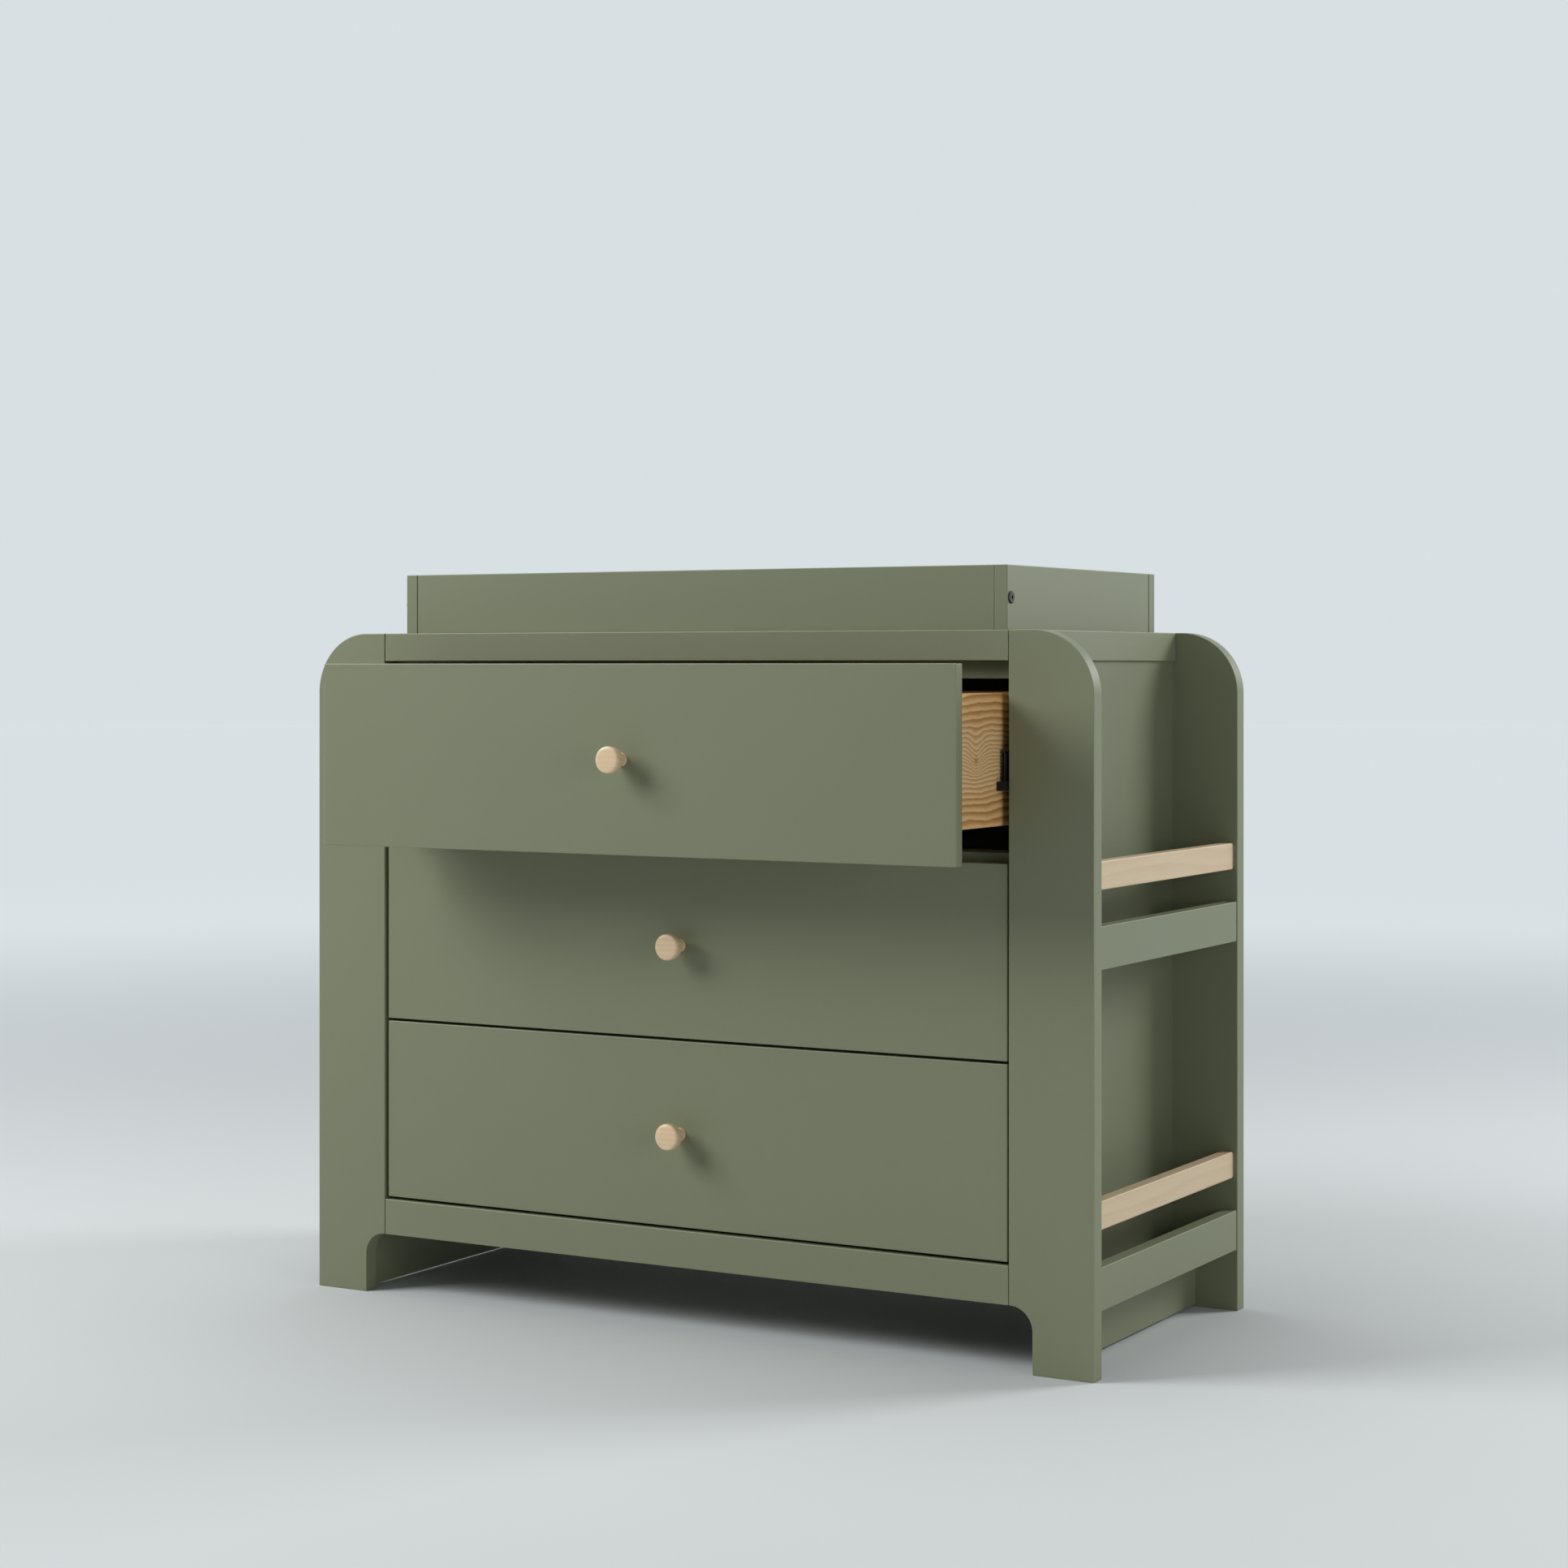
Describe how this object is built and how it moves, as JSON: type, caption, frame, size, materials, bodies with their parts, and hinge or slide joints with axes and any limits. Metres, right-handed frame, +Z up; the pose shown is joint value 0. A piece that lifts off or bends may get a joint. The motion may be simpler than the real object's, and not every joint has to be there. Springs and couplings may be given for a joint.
{
  "type": "changing table",
  "caption": "Changing dresser with sliding drawers on telescopic tracks, open book niches with bars at both ends, round wooden knobs and a lift-off style tray topper.",
  "frame": {"origin": "floor level under the middle of the part's bounding box, with the top drawer part-open as stored, so the carcass centre lies 81.8 mm behind the origin", "axes": "+X to the right seen from the drawers, +Z up, the drawers face and open along -Y"},
  "size_m": [1.118, 0.6376, 0.9408],
  "materials": {
    "sage_paint": "satin paint on board",
    "natural_wood": "matt lacquered pale hardwood",
    "turned_knob": "satin lacquered beech, with a zinc-plated screw",
    "pine": "clear lacquered solid pine with strong grain",
    "drawer_bottom": "pale plywood",
    "back_board": "painted hardboard",
    "track_steel": "black zinc-plated pressed steel",
    "bolt_steel": "dark grey steel"
  },
  "bodies": {
    "carcass": {"upright_front_left": "sage_paint", "upright_front_right": "sage_paint", "upright_rear_left": "sage_paint", "upright_rear_right": "sage_paint", "rail_top_front": "sage_paint", "rail_top_rear": "sage_paint", "rail_top_left": "sage_paint", "rail_top_right": "sage_paint", "rail_inner_top": "sage_paint", "case_top": "sage_paint", "dividers": "sage_paint", "apron_front": "sage_paint", "apron_rear": "sage_paint", "wall_left": "sage_paint", "wall_right": "sage_paint", "case_bottom": "sage_paint", "case_back": "back_board", "base_board_left": "sage_paint", "base_board_right": "sage_paint", "shelves_left": "sage_paint", "shelves_right": "sage_paint", "lip_upper_left": "sage_paint", "lip_lower_left": "sage_paint", "lip_upper_right": "sage_paint", "lip_lower_right": "sage_paint", "bar_upper_left": "natural_wood", "bar_lower_left": "natural_wood", "bar_upper_right": "natural_wood", "bar_lower_right": "natural_wood", "tray_front": "sage_paint", "tray_back": "sage_paint", "tray_left": "sage_paint", "tray_right": "sage_paint", "tray_bolts": "bolt_steel", "track_fixed": "track_steel"},
    "drawer_1": {"track_drawer_1": "track_steel", "front_1": "sage_paint", "side_left_1": "pine", "side_right_1": "pine", "back_1": "pine", "bottom_1": "drawer_bottom", "knob_1": "turned_knob"},
    "track_slider_1": {"track_middle_1": "track_steel"},
    "drawer_2": {"track_drawer_2": "track_steel", "front_2": "sage_paint", "side_left_2": "pine", "side_right_2": "pine", "back_2": "pine", "bottom_2": "drawer_bottom", "knob_2": "turned_knob"},
    "track_slider_2": {"track_middle_2": "track_steel"},
    "drawer_3": {"track_drawer_3": "track_steel", "front_3": "sage_paint", "side_left_3": "pine", "side_right_3": "pine", "back_3": "pine", "bottom_3": "drawer_bottom", "knob_3": "turned_knob"},
    "track_slider_3": {"track_middle_3": "track_steel"}
  },
  "joints": [
    {"name": "drawer_1_slide", "type": "slide", "parent": "carcass", "child": "drawer_1", "axis": [0, -1, 0], "range_m": [-0.134, 0.146]},
    {"name": "track_1_slide", "type": "slide", "parent": "carcass", "child": "track_slider_1", "axis": [0, -1, 0], "range_m": [-0.067, 0.073]},
    {"name": "drawer_2_slide", "type": "slide", "parent": "carcass", "child": "drawer_2", "axis": [0, -1, 0], "range_m": [0, 0.28]},
    {"name": "track_2_slide", "type": "slide", "parent": "carcass", "child": "track_slider_2", "axis": [0, -1, 0], "range_m": [0, 0.14]},
    {"name": "drawer_3_slide", "type": "slide", "parent": "carcass", "child": "drawer_3", "axis": [0, -1, 0], "range_m": [0, 0.28]},
    {"name": "track_3_slide", "type": "slide", "parent": "carcass", "child": "track_slider_3", "axis": [0, -1, 0], "range_m": [0, 0.14]}
  ],
  "couplings": [
    {"joint": "track_1_slide", "follows": "drawer_1_slide", "ratio": 0.5},
    {"joint": "track_2_slide", "follows": "drawer_2_slide", "ratio": 0.5},
    {"joint": "track_3_slide", "follows": "drawer_3_slide", "ratio": 0.5}
  ]
}
